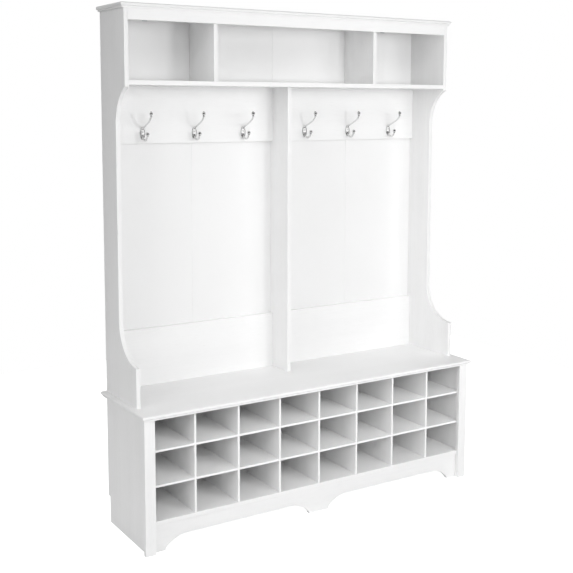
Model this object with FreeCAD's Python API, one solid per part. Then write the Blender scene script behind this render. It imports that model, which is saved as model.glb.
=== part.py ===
"""White laminated hall tree: a shoe-cubby bench with a coat-hook hutch standing on it.

Axes: X runs across the width, Y from the front (-) to the back (+), Z up. The origin is on the floor, at
the centre of the bounding box. Sizes are in millimetres. A "depth" is measured forwards from the rear edges
of the side panels, which is where the back panels are nailed on.
"""
import FreeCAD, Part
import math
import os

# --- Driving dimensions -------------------------------------------------------------------------------
WIDTH = 1524.0             # across the bench top
HEIGHT = 1951.0            # floor to the top of the crown
TOP_DEPTH = 389.0          # bench top, rear edge to nose
BACK_THICK = 5.0           # back panels, nailed on behind the side panels
BOARD = 16.0               # side panels, shelves, rails and apron
BODY_WIDTH = 1474.6        # outside to outside of the side panels, in the bench and in the hutch
EDGE_RADIUS = 0.8          # softened front edges of the laminated boards

TOP_THICK = 19.0           # bench top and crown
NOSE_RADIUS = 6.5          # half-round nose, above a lower part that is set back
NOSE_SETBACK = 7.0

BENCH_HEIGHT = 515.0       # floor to the seat
POST_WIDTH = 41.0
POST_THICK = 18.0
POST_FRONT = 374.0         # depth of the posts' front faces
POST_SPAN = 1500.6         # outside to outside of the two posts
SKIRTING_NOTCH = 16.0      # cut from the foot of each bench side, so the bench clears a skirting board

CUBBY_FLOOR_Z = 102.0      # underside of the cubby floor board
CUBBY_FLOOR_FRONT = 361.0  # its front edge, between the posts
DIVIDER_COUNT = 7
DIVIDER_PITCH = 180.8
CUBBY_BOARD = 8.0          # thickness of the upright dividers and of the two shelves
SHELF_UNDERSIDES = (240.7, 369.8)
SLOT_FIT = 0.1             # clearance on each side of a half-lap slot

ARCH_HEIGHT = 47.0         # the two arches cut in the front apron
ARCH_RADIUS = 115.0
ARCH_STEP = 6.0            # short upright at each foot, below the arc
OUTER_FOOT_X = 664.0
CENTRE_FOOT_X = 45.0

HUTCH_BASE_DEPTH = 281.0   # side panels where they stand on the bench
HUTCH_NARROW_DEPTH = 132.5
HUTCH_TOP_DEPTH = 219.0    # side panels at the top cubbies
LOWER_SWEEP_RADIUS = 147.0
LOWER_SWEEP_TOP = 809.0
UPPER_SWEEP_RADIUS = 155.0
UPPER_SWEEP_START = 1520.0

CROWN_WIDTH = 1504.0
CROWN_DEPTH = 229.0
FASCIA_HEIGHT = 40.0
HUTCH_SHELF_Z = 1666.0     # underside of the shelf below the top cubbies
TOP_DIVIDER_X = 367.3
HOOK_RAIL_HEIGHT = 216.0
LOWER_RAIL_HEIGHT = 224.0
PANEL_GROOVE_X = 369.5     # V-groove down the middle of each back panel
PANEL_GROOVE_DEPTH = 1.2
PANEL_INSET = 3.0          # back panels stop this far inside the body's outer faces
PANEL_SEAM = 0.6           # gap between the left and right back panels

HOOK_CENTRE_X = 365.0      # middle hook of each bay
HOOK_PITCH = 218.0
HOOK_Z = 1488.0            # centre of the hook's wall plate
HOOK_PLATE_SIZE = (21.0, 48.0, 3.5)
HOOK_ROD_RADIUS = 3.3
HOOK_BALL_RADIUS = 6.8
HOOK_CAP_RADIUS = 3.2      # flat cap on the tall arm's knob
HOOK_ARM_ROOT_Z = 19.0     # where the tall arm leaves the plate, above its centre
HOOK_ARM_CORNER = (79.0, 51.0)  # where the tall arm bends upright: out from the rail, up from the centre
HOOK_ARM_BEND = 24.0
HOOK_KNOB = (82.0, 75.0)
HOOK_BOWL_START = (2.5, -3.0)
HOOK_BOWL_RADIUS = 22.5
HOOK_ROOT_RADIUS = 4.4
HOOK_HOLE_RADIUS = 1.9
HOOK_SINK_RADIUS = 3.6
HOOK_SCREWS_Z = (-17.0, 6.5)

STRETCHER_BASE_Z = 40.0    # underside of the rail below the rear of the cubby floor

# --- Fixings ------------------------------------------------------------------------------------------
CAM_RADIUS = 7.3
CAM_POCKET_RADIUS = 7.5
CAM_POCKET_DEPTH = 12.8
CAM_REACH = 24.0           # from the joint to the cam's centre
BOLT_RADIUS = 3.0
BOLT_HOLE_RADIUS = 3.8
BOLT_BITE = 10.5           # thread in the other board
SHORT_BOLT_BITE = 6.5      # in the centre divider, which has a rail on each side
PANEL_CAM_DEPTHS = (40.0, 170.0)
HUTCH_FOOT_OFFSET = 30.0   # cams in the foot of a hutch side, further forward than the ones above
BENCH_OFFSET = 80.0        # cams in the bench, further forward than the ones above
LOW_RAIL_CAM_Z = 70.0      # apron and stretcher
FASCIA_CAM_RISE = 20.0
RAIL_CAM_INSET = 60.0      # from the shelf or from the bench top
CENTRE_CAM_DEPTH = 80.0

DOWEL_RADIUS = 4.0
DOWEL_LENGTH = 28.0
DOWEL_HOLE_SPARE = 1.0
DOWEL_BITE = 10.5          # in the board that the dowel's short end goes into
POST_DOWELS_Z = (60.0, 250.0, 440.0)
RAIL_DOWEL_INSET = 160.0
TOP_DIVIDER_DOWEL_DEPTHS = (50.0, 150.0)
LEG_DOWEL_DEPTHS = (100.0, 270.0)

NAIL_HEAD_RADIUS = 2.2
NAIL_HEAD_THICK = 0.8
NAIL_SHANK_RADIUS = 0.8
NAIL_LENGTH = 15.8
HUTCH_NAILS = (40.0, 172.0, 9)    # height of the first one above the bench top, pitch, count
BENCH_NAILS = (50.0, 105.0, 4)    # above the cubby floor's underside
LEVEL_NAILS = (70.0, 145.0, 5)    # from the centre, along each horizontal board
MIDDLE_NAILS_X = 4.5
MIDDLE_NAILS_Z = (620, 800, 1000, 1200, 1400, 1560)

WALL_BRACKET_X = 560.0
BRACKET_WIDTH = 20.0
BRACKET_LEG = 25.0
BRACKET_THICK = 2.0
BRACKET_HOLE_RADIUS = 2.75
BRACKET_SCREW_DEPTH = 15.0
BRACKET_SCREW_RADIUS = 2.0
BRACKET_SCREW_HEAD = (4.0, 2.0)   # radius and thickness of the pan head
DIVIDER_SCREW_DEPTHS = (45.0, 160.0)
DIVIDER_SCREW_SIZE = (2.4, 4.6, 48.0)
HOOK_SCREW_SIZE = (1.7, 3.4, 15.0)  # shank radius, head radius, length

# --- Sizes that follow from them ----------------------------------------------------------------------
REAR_Y = (TOP_DEPTH + BACK_THICK) / 2 - BACK_THICK
OUTER_X = BODY_WIDTH / 2
INNER_X = OUTER_X - BOARD
BENCH_TOP_Z = BENCH_HEIGHT - TOP_THICK
CROWN_Z = HEIGHT - TOP_THICK
FASCIA_Z = CROWN_Z - FASCIA_HEIGHT
CUBBY_BASE_Z = CUBBY_FLOOR_Z + BOARD
POST_REAR = POST_FRONT - POST_THICK
APRON_FRONT = POST_REAR - 1.0
CUBBY_FRONT = POST_REAR
POST_OUTER_X = POST_SPAN / 2
POST_INNER_X = POST_OUTER_X - POST_WIDTH
SHELF_TOP_Z = HUTCH_SHELF_Z + BOARD
FASCIA_REAR = HUTCH_TOP_DEPTH - BOARD
DIVIDER_XS = [(i - (DIVIDER_COUNT - 1) / 2) * DIVIDER_PITCH for i in range(DIVIDER_COUNT)]
HOOK_XS = [side * HOOK_CENTRE_X + step * HOOK_PITCH for side in (-1, 1) for step in (-1, 0, 1)]
SIDES = (("left", -1), ("right", 1))
X_AXIS = FreeCAD.Vector(1, 0, 0)
FORWARDS = FreeCAD.Vector(0, -1, 0)
UP = FreeCAD.Vector(0, 0, 1)


def point(x, depth, z):
    return FreeCAD.Vector(x, REAR_Y - depth, z)


def board(x0, x1, depth0, depth1, z0, z1):
    """A flat rectangular board between two planes in each direction."""
    return Part.makeBox(x1 - x0, depth1 - depth0, z1 - z0, point(x0, depth1, z0))


def mirrored_board(side, x0, x1, depth0, depth1, z0, z1):
    """The same, on the left (side -1) or the right (side 1), with x measured outwards from the centre."""
    low, high = sorted((side * x0, side * x1))
    return board(low, high, depth0, depth1, z0, z1)


def rod(centre, direction, radius, length):
    return Part.makeCylinder(radius, length, centre, direction)


def closed_face(curves):
    return Part.Face(Part.Wire([curve.toShape() for curve in curves]))


def soften(shape, chosen, radius=EDGE_RADIUS):
    """Rounds the edges for which chosen(edge) is true."""
    return shape.makeFillet(radius, [edge for edge in shape.Edges if chosen(edge)])


def soften_front(shape, depth, shortest=12.0):
    """Rounds the long edges that lie in the front plane at this depth."""
    front_y = REAR_Y - depth

    def at_front(edge):
        box = edge.BoundBox
        return abs(box.YMin - front_y) < 0.01 and abs(box.YMax - front_y) < 0.01 and edge.Length > shortest

    return soften(shape, at_front)


# --- Moulded tops -------------------------------------------------------------------------------------
def nosed_profile(reach, z0, rear, across):
    """The section of a moulded top, from its rear plane to its nose at distance reach.

    across turns a distance and a height into a point, so the same section serves the front and the ends.
    """
    wall = reach - NOSE_SETBACK
    centre = reach - NOSE_RADIUS
    ledge_z = z0 + TOP_THICK - 2 * NOSE_RADIUS
    top_z = z0 + TOP_THICK
    outline = [Part.LineSegment(across(rear, z0), across(wall, z0)),
               Part.LineSegment(across(wall, z0), across(wall, ledge_z)),
               Part.LineSegment(across(wall, ledge_z), across(centre, ledge_z)),
               Part.Arc(across(centre, ledge_z), across(reach, ledge_z + NOSE_RADIUS), across(centre, top_z)),
               Part.LineSegment(across(centre, top_z), across(rear, top_z)),
               Part.LineSegment(across(rear, top_z), across(rear, z0))]
    return closed_face(outline)


def moulded_top(width, depth, z0):
    """A board with the moulded nose along its front and both ends, mitred at the corners."""
    half = width / 2
    front = nosed_profile(depth, z0, 0.0, lambda d, z: point(-half - 1, d, z))
    front = front.extrude(FreeCAD.Vector(width + 2, 0, 0))
    ends = []
    for side in (-1, 1):
        end = nosed_profile(half, z0, 0.0, lambda x, z, side=side: point(side * x, -1, z))
        ends.append(end.extrude(FreeCAD.Vector(0, -depth - 2, 0)))
    return front.common(ends[0].fuse(ends[1]).removeSplitter()).removeSplitter()


# --- Bench --------------------------------------------------------------------------------------------
def bench_side(side):
    panel = mirrored_board(side, INNER_X, OUTER_X, 0, POST_REAR, 0, BENCH_TOP_Z)
    notch = mirrored_board(side, INNER_X - 1, OUTER_X + 1, -1, SKIRTING_NOTCH, -1, CUBBY_FLOOR_Z)
    return panel.cut(notch)


def front_post(side):
    post = mirrored_board(side, POST_INNER_X, POST_OUTER_X, POST_REAR, POST_FRONT, 0, BENCH_TOP_Z)
    return soften_front(post, POST_FRONT)


def cubby_floor():
    between_sides = board(-INNER_X, INNER_X, 0, POST_REAR, CUBBY_FLOOR_Z, CUBBY_BASE_Z)
    tongue = board(-POST_INNER_X, POST_INNER_X, POST_REAR, CUBBY_FLOOR_FRONT, CUBBY_FLOOR_Z, CUBBY_BASE_Z)
    return soften_front(between_sides.fuse(tongue).removeSplitter(), CUBBY_FLOOR_FRONT)


def cubby_divider(x):
    """An upright divider, slotted from the rear half-way, so that it drops over the shelves."""
    half = CUBBY_BOARD / 2
    upright = board(x - half, x + half, 0, CUBBY_FRONT, CUBBY_BASE_Z, BENCH_TOP_Z)
    for z in SHELF_UNDERSIDES:
        slot = board(x - half - 1, x + half + 1, -1, CUBBY_FRONT / 2 + SLOT_FIT,
                     z - SLOT_FIT, z + CUBBY_BOARD + SLOT_FIT)
        upright = upright.cut(slot)
    return soften_front(upright, CUBBY_FRONT)


def cubby_shelf(z):
    """A shelf the full width of the bench, slotted from the front half-way for the dividers."""
    shelf = board(-INNER_X, INNER_X, 0, CUBBY_FRONT, z, z + CUBBY_BOARD)
    half = CUBBY_BOARD / 2 + SLOT_FIT
    for x in DIVIDER_XS:
        shelf = shelf.cut(board(x - half, x + half, CUBBY_FRONT / 2, CUBBY_FRONT + 1, z - 1,
                                z + CUBBY_BOARD + 1))
    return soften_front(shelf, CUBBY_FRONT)


def arch_void(side):
    """One arch of the apron: a flat top with a quarter sweep down to a short upright at each foot."""
    rise = ARCH_HEIGHT - ARCH_STEP
    run = math.sqrt(ARCH_RADIUS ** 2 - (ARCH_RADIUS - rise) ** 2)

    def at(x, z):
        return point(side * x, APRON_FRONT + 1, z)

    def sweep(foot_x, inwards):
        """Foot of the arc, a point half-way round it, and its tangent point on the flat top."""
        top_x = foot_x + inwards * run
        middle_x = foot_x + inwards * run * 0.45
        middle_drop = ARCH_RADIUS - math.sqrt(ARCH_RADIUS ** 2 - (top_x - middle_x) ** 2)
        return at(foot_x, ARCH_STEP), at(middle_x, ARCH_HEIGHT - middle_drop), at(top_x, ARCH_HEIGHT)

    near = sweep(CENTRE_FOOT_X, 1)
    far = sweep(OUTER_FOOT_X, -1)
    outline = [Part.LineSegment(at(CENTRE_FOOT_X, -1), near[0]), Part.Arc(*near),
               Part.LineSegment(near[2], far[2]), Part.Arc(*far),
               Part.LineSegment(far[0], at(OUTER_FOOT_X, -1)),
               Part.LineSegment(at(OUTER_FOOT_X, -1), at(CENTRE_FOOT_X, -1))]
    return closed_face(outline).extrude(FreeCAD.Vector(0, BOARD + 2, 0))


def front_apron():
    apron = board(-INNER_X, INNER_X, APRON_FRONT - BOARD, APRON_FRONT, 0, CUBBY_FLOOR_Z)
    for _, side in SIDES:
        apron = apron.cut(arch_void(side))
    return apron


def rear_stretcher():
    """A rail under the rear of the cubby floor, in front of the skirting notch."""
    return board(-INNER_X, INNER_X, SKIRTING_NOTCH, SKIRTING_NOTCH + BOARD, STRETCHER_BASE_Z,
                 CUBBY_FLOOR_Z)


def centre_leg():
    """A board on edge under the middle of the cubby floor, from the stretcher to the apron."""
    return board(-BOARD / 2, BOARD / 2, SKIRTING_NOTCH + BOARD, APRON_FRONT - BOARD, 0, CUBBY_FLOOR_Z)


def bench_back(side):
    return mirrored_board(side, PANEL_SEAM / 2, OUTER_X - PANEL_INSET, -BACK_THICK, 0,
                          CUBBY_FLOOR_Z + 2, BENCH_HEIGHT - TOP_THICK / 2 - 1)


# --- Hutch --------------------------------------------------------------------------------------------
def hutch_side(side):
    """A side panel whose front edge sweeps in above the bench and out again below the shelf."""
    x = min(side * INNER_X, side * OUTER_X)
    lower_centre = HUTCH_NARROW_DEPTH + LOWER_SWEEP_RADIUS
    upper_centre = HUTCH_NARROW_DEPTH + UPPER_SWEEP_RADIUS
    half_turn = math.radians(45)
    lower_start_z = LOWER_SWEEP_TOP - LOWER_SWEEP_RADIUS
    sweep_end = math.acos((upper_centre - HUTCH_TOP_DEPTH) / UPPER_SWEEP_RADIUS)
    upper_end_z = UPPER_SWEEP_START + UPPER_SWEEP_RADIUS * math.sin(sweep_end)

    def at(depth, z):
        return point(x, depth, z)

    lower_sweep = Part.Arc(at(lower_centre, lower_start_z),
                           at(lower_centre - LOWER_SWEEP_RADIUS * math.cos(half_turn),
                              LOWER_SWEEP_TOP - LOWER_SWEEP_RADIUS * math.sin(half_turn)),
                           at(HUTCH_NARROW_DEPTH, LOWER_SWEEP_TOP))
    upper_sweep = Part.Arc(at(HUTCH_NARROW_DEPTH, UPPER_SWEEP_START),
                           at(upper_centre - UPPER_SWEEP_RADIUS * math.cos(sweep_end / 2),
                              UPPER_SWEEP_START + UPPER_SWEEP_RADIUS * math.sin(sweep_end / 2)),
                           at(HUTCH_TOP_DEPTH, upper_end_z))
    outline = [Part.LineSegment(at(0, BENCH_HEIGHT), at(HUTCH_BASE_DEPTH, BENCH_HEIGHT)),
               Part.LineSegment(at(HUTCH_BASE_DEPTH, BENCH_HEIGHT), at(HUTCH_BASE_DEPTH, lower_start_z)),
               Part.LineSegment(at(HUTCH_BASE_DEPTH, lower_start_z), at(lower_centre, lower_start_z)),
               lower_sweep,
               Part.LineSegment(at(HUTCH_NARROW_DEPTH, LOWER_SWEEP_TOP),
                                at(HUTCH_NARROW_DEPTH, UPPER_SWEEP_START)),
               upper_sweep,
               Part.LineSegment(at(HUTCH_TOP_DEPTH, upper_end_z), at(HUTCH_TOP_DEPTH, CROWN_Z)),
               Part.LineSegment(at(HUTCH_TOP_DEPTH, CROWN_Z), at(0, CROWN_Z)),
               Part.LineSegment(at(0, CROWN_Z), at(0, BENCH_HEIGHT))]
    panel = closed_face(outline).extrude(FreeCAD.Vector(BOARD, 0, 0))

    def exposed(edge):
        middle = edge.CenterOfMass
        on_a_face = edge.BoundBox.XLength < 0.01
        return (on_a_face and middle.y < REAR_Y - 1 and BENCH_HEIGHT + 1 < middle.z < CROWN_Z - 1
                and edge.Length > 2)

    return soften(panel, exposed)


def centre_divider():
    post = board(-BOARD / 2, BOARD / 2, 0, HUTCH_NARROW_DEPTH, BENCH_HEIGHT, HUTCH_SHELF_Z)
    return soften_front(post, HUTCH_NARROW_DEPTH)


def hutch_shelf():
    shelf = board(-INNER_X, INNER_X, 0, HUTCH_TOP_DEPTH, HUTCH_SHELF_Z, SHELF_TOP_Z)
    return soften_front(shelf, HUTCH_TOP_DEPTH, 100)


def top_divider(side):
    x = side * TOP_DIVIDER_X
    return board(x - BOARD / 2, x + BOARD / 2, 0, FASCIA_REAR, SHELF_TOP_Z, CROWN_Z)


def top_fascia():
    fascia = board(-INNER_X, INNER_X, FASCIA_REAR, HUTCH_TOP_DEPTH, FASCIA_Z, CROWN_Z)
    return soften_front(fascia, HUTCH_TOP_DEPTH, 100)


def rail(side, z0, z1):
    return mirrored_board(side, BOARD / 2, INNER_X, 0, BOARD, z0, z1)


def hutch_back(side):
    """A thin panel over the rear of one bay, with a V-groove down its face."""
    panel = mirrored_board(side, PANEL_SEAM / 2, OUTER_X - PANEL_INSET, -BACK_THICK, 0,
                           BENCH_HEIGHT - TOP_THICK / 2, HEIGHT - PANEL_INSET)
    x = side * PANEL_GROOVE_X
    corners = [point(x - PANEL_GROOVE_DEPTH, 0, 0), point(x, -PANEL_GROOVE_DEPTH, 0),
               point(x + PANEL_GROOVE_DEPTH, 0, 0), point(x, 1, 0)]
    groove = Part.Face(Part.makePolygon(corners + corners[:1]))
    return panel.cut(groove.extrude(FreeCAD.Vector(0, 0, HEIGHT)))


# --- Coat hooks ---------------------------------------------------------------------------------------
def bent_rod(points, radius, bend_radius):
    """A round rod along straight runs joined by one tangent arc at the middle point."""
    start, corner, end = points
    to_start = (start - corner).normalize()
    to_end = (end - corner).normalize()
    half_angle = to_start.getAngle(to_end) / 2
    reach = bend_radius / math.tan(half_angle)
    first = corner + to_start * reach
    last = corner + to_end * reach
    bisector = (to_start + to_end).normalize()
    middle = corner + bisector * (bend_radius / math.sin(half_angle) - bend_radius)
    path = Part.Wire([Part.LineSegment(start, first).toShape(), Part.Arc(first, middle, last).toShape(),
                      Part.LineSegment(last, end).toShape()])
    section = Part.Wire([Part.makeCircle(radius, start, corner - start)])
    return path.makePipeShell([section], True, False)


def coat_hook(x):
    """A two-arm hook cast in one piece: an oval wall plate, a tall arm and a short one, each with a knob."""
    width, height, thick = HOOK_PLATE_SIZE

    def at(out, z):
        return point(x, BOARD + out, HOOK_Z + z)

    oval = Part.Ellipse(at(0, height / 2), at(0, 0) + X_AXIS * (width / 2), at(0, 0))
    plate = Part.Face(Part.Wire([oval.toShape()])).extrude(FORWARDS * thick)
    front_edges = [edge for edge in plate.Edges if edge.BoundBox.YMax < at(thick, 0).y + 0.01]
    plate = plate.makeFillet(1.5, front_edges)

    knob_out, knob_z = HOOK_KNOB
    tall_arm = bent_rod([at(1, HOOK_ARM_ROOT_Z), at(*HOOK_ARM_CORNER), at(knob_out, knob_z - 3)],
                        HOOK_ROD_RADIUS, HOOK_ARM_BEND)
    tall_knob = Part.makeSphere(HOOK_BALL_RADIUS, at(knob_out, knob_z))
    tall_collar = rod(at(knob_out, knob_z - 10.5), UP, 4.9, 2.5)
    tall_cap = rod(at(knob_out, knob_z), UP, HOOK_CAP_RADIUS, HOOK_BALL_RADIUS + 1.7)

    out, z = HOOK_BOWL_START
    bowl = Part.Arc(at(out, z), at(out + HOOK_BOWL_RADIUS, z - HOOK_BOWL_RADIUS),
                    at(out + 2 * HOOK_BOWL_RADIUS, z))
    section = Part.Wire([Part.makeCircle(HOOK_ROD_RADIUS, at(out, z), UP)])
    short_arm = Part.Wire([bowl.toShape()]).makePipeShell([section], True, False)
    root = Part.makeSphere(HOOK_ROOT_RADIUS, at(out, z))
    short_knob = Part.makeSphere(HOOK_BALL_RADIUS - 0.3, at(out + 2 * HOOK_BOWL_RADIUS, z + 2))

    hook = plate
    for piece in (tall_arm, tall_knob, tall_collar, tall_cap, short_arm, root, short_knob):
        hook = hook.fuse(piece)
    # The arms' roots end flush with the back of the plate.
    behind = board(x - width, x + width, 0, BOARD, HOOK_Z - height, HOOK_Z + height)
    hook = hook.cut(behind)
    sink = HOOK_SINK_RADIUS / 2
    for z in HOOK_SCREWS_Z:
        hook = hook.cut(rod(at(-1, z), FORWARDS, HOOK_HOLE_RADIUS, thick + 8))
        hook = hook.cut(Part.makeCone(HOOK_HOLE_RADIUS, HOOK_SINK_RADIUS, sink, at(thick - sink, z), FORWARDS))
        hook = hook.cut(rod(at(thick, z), FORWARDS, HOOK_SINK_RADIUS, 4))
    return hook.removeSplitter()


def screw_hole(head, direction, shank_radius, head_radius, length):
    """The space that a countersunk screw fills: head is the centre of its flat top."""
    sink = head_radius - shank_radius
    cone = Part.makeCone(head_radius, shank_radius, sink, head, direction)
    shank = rod(head + direction * sink, direction, shank_radius, length - sink - 3)
    tip = Part.makeCone(shank_radius, 0.3, 3, head + direction * (length - 3), direction)
    return cone.fuse(shank).fuse(tip)


def wood_screw(head, direction, shank_radius, head_radius, length):
    """A countersunk screw, with a recess in its head for the driver."""
    drive = rod(head - direction, direction, head_radius * 0.38, 2.0)
    return screw_hole(head, direction, shank_radius, head_radius, length).cut(drive).removeSplitter()


def hook_screws():
    """Two countersunk screws hold each hook to its rail."""
    head_depth = BOARD + HOOK_PLATE_SIZE[2] - 0.2
    return [wood_screw(point(x, head_depth, HOOK_Z + z), -FORWARDS, *HOOK_SCREW_SIZE)
            for x in HOOK_XS for z in HOOK_SCREWS_Z]


# --- Knock-down fittings ------------------------------------------------------------------------------
def cam_joints():
    """Every cam fitting: joint point, direction into the cam's board, face the cam drops in from, boards.

    The joint point lies in the mid-plane of the cam's board, which is BOARD thick.
    """
    mid = BOARD / 2
    joints = []
    for name, side in SIDES:
        edge_x = side * INNER_X
        into = X_AXIS * -side
        inwards = X_AXIS * -side
        hutch = "hutch_side_" + name
        bench = "bench_side_" + name
        side_x = side * (INNER_X + mid)
        for depth in PANEL_CAM_DEPTHS:
            foot = depth + HUTCH_FOOT_OFFSET
            low = depth + BENCH_OFFSET
            joints.append((point(side_x, depth, CROWN_Z), -UP, inwards, hutch, "crown_top"))
            joints.append((point(edge_x, depth, HUTCH_SHELF_Z + mid), into, -UP, "hutch_shelf", hutch))
            joints.append((point(side_x, foot, BENCH_HEIGHT), UP, inwards, hutch, "bench_top"))
            joints.append((point(side_x, low, BENCH_TOP_Z), -UP, inwards, bench, "bench_top"))
            joints.append((point(edge_x, low, CUBBY_FLOOR_Z + mid), into, -UP, "cubby_floor", bench))
        fascia_joint = point(edge_x, FASCIA_REAR + mid, FASCIA_Z + FASCIA_CAM_RISE)
        joints.append((fascia_joint, into, -FORWARDS, "top_fascia", hutch))
        for rail_name, depth in (("front_apron", APRON_FRONT - mid), ("rear_stretcher", SKIRTING_NOTCH + mid)):
            joints.append((point(edge_x, depth, LOW_RAIL_CAM_Z), into, -FORWARDS, rail_name, bench))
        for rail_name, z in (("hook_rail_" + name, HUTCH_SHELF_Z - RAIL_CAM_INSET),
                             ("lower_rail_" + name, BENCH_HEIGHT + RAIL_CAM_INSET)):
            joints.append((point(edge_x, mid, z), into, -FORWARDS, rail_name, hutch))
            joints.append((point(side * mid, mid, z), X_AXIS * side, -FORWARDS, rail_name, "centre_divider"))
    for z, into, other in ((HUTCH_SHELF_Z, -UP, "hutch_shelf"), (BENCH_HEIGHT, UP, "bench_top")):
        joints.append((point(0, CENTRE_CAM_DEPTH, z), into, X_AXIS, "centre_divider", other))
    return joints


def cam_fitting(joint):
    """The cam lock, its bolt, and the holes that each of the two boards needs for them."""
    start, into, face, _, _ = joint
    centre = start + into * CAM_REACH
    mouth = centre + face * (BOARD / 2)
    bolt_end = CAM_REACH + 2.5
    # A rail's bolts share the thin centre divider with the rail on its other side.
    bite = BOLT_BITE if abs(start.x) > BOARD else SHORT_BOLT_BITE
    bolt = rod(start - into * bite, into, BOLT_RADIUS, bite + bolt_end - 5)
    bolt = bolt.fuse(rod(start + into * (bolt_end - 5), into, BOLT_RADIUS - 1, 3))
    bolt = bolt.fuse(rod(start + into * (bolt_end - 2.5), into, BOLT_RADIUS, 2.5)).removeSplitter()
    cam = rod(mouth - face * 0.3, -face, CAM_RADIUS, CAM_POCKET_DEPTH - 0.6)
    cam = cam.cut(rod(start, into, BOLT_RADIUS + 0.3, bolt_end + 0.3))
    slot = Part.makeBox(7, 1.4, 2)
    slot.translate(FreeCAD.Vector(-3.5, -0.7, -1))
    slot = slot.fuse(slot.rotated(FreeCAD.Vector(0, 0, 0), UP, 90))
    slot.Placement = FreeCAD.Placement(mouth - face * 0.5, FreeCAD.Rotation(UP, face))
    cam = cam.cut(slot)
    pocket = rod(mouth + face, -face, CAM_POCKET_RADIUS, CAM_POCKET_DEPTH + 1)
    channel = rod(start - into, into, BOLT_HOLE_RADIUS, CAM_REACH + 1)
    socket = rod(start + into, -into, BOLT_RADIUS, bite + 1)
    return cam, bolt, pocket.fuse(channel), socket


def dowel_joints():
    """Every dowel: the joint point at its middle, its direction, and the two boards it joins."""
    mid = BOARD / 2
    dowels = []
    for name, side in SIDES:
        edge_x = side * INNER_X
        side_x = side * (INNER_X + mid)
        hutch = "hutch_side_" + name
        bench = "bench_side_" + name
        # Each dowel stands midway between the two cams of its joint.
        between = sum(PANEL_CAM_DEPTHS) / 2
        foot = between + HUTCH_FOOT_OFFSET
        dowels.append((point(side_x, between, CROWN_Z), UP, hutch, "crown_top"))
        dowels.append((point(side_x, foot, BENCH_HEIGHT), UP, hutch, "bench_top"))
        dowels.append((point(side_x, foot + HUTCH_FOOT_OFFSET, BENCH_TOP_Z), UP, bench, "bench_top"))
        dowels.append((point(edge_x, between, HUTCH_SHELF_Z + mid), X_AXIS, "hutch_shelf", hutch))
        dowels.append((point(edge_x, between + BENCH_OFFSET, CUBBY_FLOOR_Z + mid), X_AXIS, "cubby_floor", bench))
        for z in POST_DOWELS_Z:
            dowels.append((point(side_x, POST_REAR, z), FORWARDS, bench, "front_post_" + name))
        for rail_name, z in (("hook_rail_" + name, HUTCH_SHELF_Z - RAIL_DOWEL_INSET),
                             ("lower_rail_" + name, BENCH_HEIGHT + RAIL_DOWEL_INSET)):
            dowels.append((point(edge_x, mid, z), X_AXIS, rail_name, hutch))
        for depth in TOP_DIVIDER_DOWEL_DEPTHS:
            top_divider_name = "top_divider_" + name
            dowels.append((point(side * TOP_DIVIDER_X, depth, CROWN_Z), UP, top_divider_name, "crown_top"))
    for z, other in ((HUTCH_SHELF_Z, "hutch_shelf"), (BENCH_HEIGHT, "bench_top")):
        dowels.append((point(0, CENTRE_CAM_DEPTH - 45, z), UP, "centre_divider", other))
    for depth in LEG_DOWEL_DEPTHS:
        dowels.append((point(0, depth, CUBBY_FLOOR_Z), UP, "centre_leg", "cubby_floor"))
    return dowels


def dowel(joint):
    """A beech dowel with its short end in the second board named, and the hole for it."""
    start, direction, _, _ = joint
    towards_second = direction if is_second_ahead(joint) else -direction
    base = start + towards_second * DOWEL_BITE
    hole = rod(base, -towards_second, DOWEL_RADIUS, DOWEL_LENGTH + DOWEL_HOLE_SPARE)
    return rod(base, -towards_second, DOWEL_RADIUS, DOWEL_LENGTH), hole


def is_second_ahead(joint):
    """True if the second board lies on the positive side of the joint, along its direction."""
    start, direction, _, second = joint
    probe = start + direction * 3 + FreeCAD.Vector(0.1, 0.1, 0.1)
    return boards[second].isInside(probe, 0.01, True)


def in_a_row(first, pitch, count):
    return [first + i * pitch for i in range(count)]


def panel_nails():
    """Flat-headed nails round the edge of every back panel."""
    places = []
    for side in (-1, 1):
        edge_x = side * (INNER_X + BOARD / 2)
        first, pitch, count = HUTCH_NAILS
        places += [(edge_x, z) for z in in_a_row(BENCH_HEIGHT + first, pitch, count)]
        first, pitch, count = BENCH_NAILS
        places += [(edge_x, z) for z in in_a_row(CUBBY_FLOOR_Z + first, pitch, count)]
        for x in in_a_row(*LEVEL_NAILS):
            for z in (HEIGHT - TOP_THICK / 2, HUTCH_SHELF_Z + BOARD / 2, CUBBY_FLOOR_Z + BOARD / 2):
                places.append((side * x, z))
        places += [(side * MIDDLE_NAILS_X, z) for z in MIDDLE_NAILS_Z]
    nails = []
    for x, z in places:
        outer = point(x, -BACK_THICK, z)
        head = rod(outer, FORWARDS, NAIL_HEAD_RADIUS, NAIL_HEAD_THICK)
        nails.append(head.fuse(rod(outer, FORWARDS, NAIL_SHANK_RADIUS, NAIL_LENGTH)).removeSplitter())
    return nails


def wall_bracket_holes(x):
    """The bracket's two holes: one for the wall screw, one for the screw into the crown."""
    wall_hole = rod(point(x, -BACK_THICK - 1, CROWN_Z - 15), FORWARDS, BRACKET_HOLE_RADIUS, 12)
    crown_hole = rod(point(x, BRACKET_SCREW_DEPTH, CROWN_Z - 5), UP, BRACKET_SCREW_RADIUS + 0.2, 6)
    return wall_hole, crown_hole


def wall_brackets():
    """Two steel angles under the crown, for the screws that tie the hall tree to a wall."""
    brackets = []
    for x in (-WALL_BRACKET_X, WALL_BRACKET_X):
        half = BRACKET_WIDTH / 2
        upright = board(x - half, x + half, 0, BRACKET_THICK, CROWN_Z - BRACKET_LEG, CROWN_Z)
        level = board(x - half, x + half, 0, BRACKET_LEG, CROWN_Z - BRACKET_THICK, CROWN_Z)
        angle = upright.fuse(level).removeSplitter()
        for hole in wall_bracket_holes(x):
            angle = angle.cut(hole)
        brackets.append(angle)
    return brackets


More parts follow.
